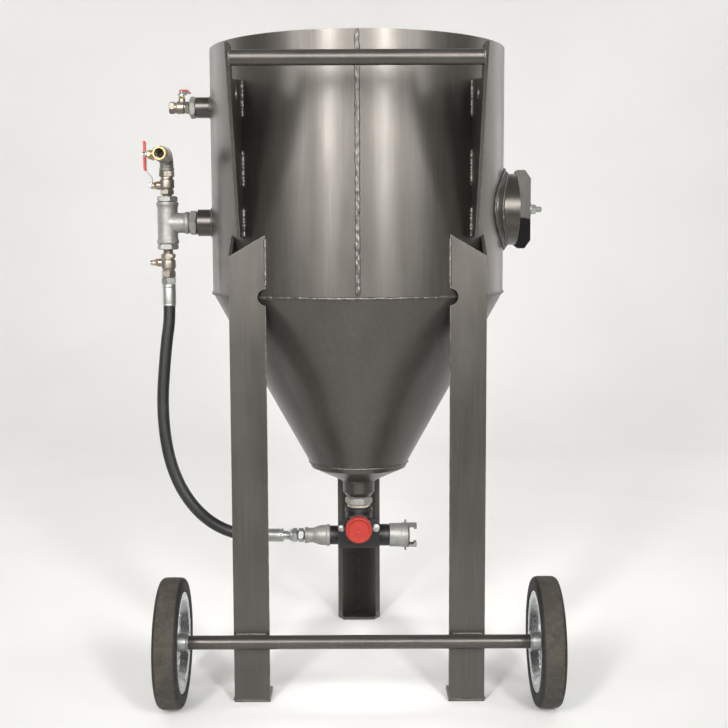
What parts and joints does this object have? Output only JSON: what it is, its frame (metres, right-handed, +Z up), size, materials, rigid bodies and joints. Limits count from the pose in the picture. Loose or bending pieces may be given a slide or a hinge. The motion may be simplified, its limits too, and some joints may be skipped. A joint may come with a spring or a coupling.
{
  "type": "abrasive blast pot",
  "caption": "Wheeled pressure pot for abrasive blasting: open hopper, dished head with pop-up plug, conical bottom, metering valve, air inlet pipework and hose, hand hole, push handle.",
  "frame": {"origin": "middle of the rigid pieces' bounding box, on the floor", "axes": "+Z up; the wheels and push handle are on -Y; the air inlet is on -X and the hand hole on +X"},
  "size_m": [0.8414, 0.7989, 1.281],
  "materials": {
    "tank_paint": "glossy metallic grey-brown paint",
    "galvanised": "galvanised malleable iron, slightly mottled",
    "zinc_plate": "bright zinc plate",
    "nickel_brass": "nickel plated brass, satin",
    "black_casting": "black paint on a casting",
    "red_grip": "dipped red vinyl",
    "red_knob": "moulded red plastic",
    "hose_rubber": "black rubber, smooth cover",
    "seal_rubber": "black rubber",
    "plug_rubber": "rubber coated",
    "tyre_rubber": "solid grey-black rubber",
    "steel": "plain turned steel",
    "chrome_ball": "chromed ball and stem"
  },
  "bodies": {
    "root": {"tank_shell": "tank_paint", "tank_cone": "tank_paint", "cone_bottom_cap": "tank_paint", "dished_head": "tank_paint", "filler_ring": "tank_paint", "filler_seal": "seal_rubber", "internal_air_pipe": "galvanised", "leg_left": "tank_paint", "leg_right": "tank_paint", "leg_rear": "tank_paint", "foot_plates": "tank_paint", "axle": "tank_paint", "axle_retainers": "zinc_plate", "handle_bar": "tank_paint", "handle_arm_left": "tank_paint", "handle_arm_right": "tank_paint", "hatch_neck": "tank_paint", "hatch_pad": "tank_paint", "hatch_gasket": "seal_rubber", "hatch_cover": "steel", "hatch_yoke": "tank_paint", "air_inlet_socket": "tank_paint", "vent_socket": "tank_paint", "inlet_nipple": "galvanised", "pipe_tee": "galvanised", "reducing_bushings": "galvanised", "pipe_elbow": "galvanised", "outlet_socket": "tank_paint", "outlet_nipple": "galvanised", "metering_body": "black_casting", "metering_bonnet": "black_casting", "bonnet_bolts": "zinc_plate", "air_reducer": "galvanised", "hose_nipple": "zinc_plate", "lower_hose_end": "zinc_plate", "upper_hose_end": "zinc_plate", "air_hose": "hose_rubber", "claw_coupling": "galvanised", "coupling_seal": "seal_rubber", "valve_body_riser": "nickel_brass", "valve_body_inlet": "nickel_brass", "valve_body_hose": "nickel_brass", "valve_body_vent": "nickel_brass"},
    "riser_lever": {"ball_stem_riser": "chrome_ball", "lever_riser": "red_grip"},
    "inlet_lever": {"ball_stem_inlet": "chrome_ball", "lever_inlet": "red_grip"},
    "hose_lever": {"ball_stem_hose": "chrome_ball", "lever_hose": "red_grip"},
    "vent_lever": {"ball_stem_vent": "chrome_ball", "lever_vent": "red_grip"},
    "wheel_left": {"tyre_left": "tyre_rubber", "wheel_centre_left": "zinc_plate"},
    "wheel_right": {"tyre_right": "tyre_rubber", "wheel_centre_right": "zinc_plate"},
    "knob": {"metering_knob": "red_knob"},
    "plunger": {"metering_plunger": "steel"},
    "plug": {"popup_plug": "plug_rubber"},
    "washer": {"hatch_washer": "zinc_plate"},
    "nut": {"hatch_nut": "zinc_plate"}
  },
  "joints": [
    {"name": "wheel_left_spin", "type": "hinge", "parent": "root", "child": "wheel_left", "pos_m": [-0.34025, -0.20372, 0.125], "axis": [1, 0, 0], "continuous": true},
    {"name": "wheel_right_spin", "type": "hinge", "parent": "root", "child": "wheel_right", "pos_m": [0.38175, -0.20372, 0.125], "axis": [1, 0, 0], "continuous": true},
    {"name": "riser_lever_turn", "type": "hinge", "parent": "root", "child": "riser_lever", "pos_m": [-0.37325, 0.05398, 1.012], "axis": [-1, 0, 0], "range_deg": [0, 90]},
    {"name": "inlet_lever_turn", "type": "hinge", "parent": "root", "child": "inlet_lever", "pos_m": [-0.37325, -0.01202, 1.072], "axis": [1, 0, 0], "range_deg": [0, 90]},
    {"name": "hose_lever_turn", "type": "hinge", "parent": "root", "child": "hose_lever", "pos_m": [-0.37325, 0.05398, 0.853], "axis": [1, 0, 0], "range_deg": [0, 90]},
    {"name": "vent_lever_turn", "type": "hinge", "parent": "root", "child": "vent_lever", "pos_m": [-0.33925, 0.05398, 1.17], "axis": [0, 0, 1], "range_deg": [0, 90]},
    {"name": "metering_knob_turn", "type": "hinge", "parent": "root", "child": "knob", "pos_m": [0.02075, -0.02303, 0.304], "axis": [0, 1, 0], "range_deg": [0, 1440]},
    {"name": "metering_plunger_travel", "type": "slide", "parent": "root", "child": "plunger", "axis": [0, 1, 0], "range_m": [0, 0.016]},
    {"name": "popup_plug_lift", "type": "slide", "parent": "root", "child": "plug", "axis": [0, 0, 1], "range_m": [0, 0.04]},
    {"name": "hatch_washer_travel", "type": "slide", "parent": "root", "child": "washer", "axis": [1, 0, 0], "range_m": [0, 0.00875]},
    {"name": "hatch_nut_turn", "type": "hinge", "parent": "washer", "child": "nut", "pos_m": [0.38475, 0.05398, 0.96], "axis": [1, 0, 0], "range_deg": [0, 1800.2]}
  ],
  "couplings": [
    {"joint": "metering_plunger_travel", "follows": "metering_knob_turn", "m_per_rad": 0.00063662},
    {"joint": "hatch_nut_turn", "follows": "hatch_washer_travel", "rad_per_m": 3590.4}
  ]
}
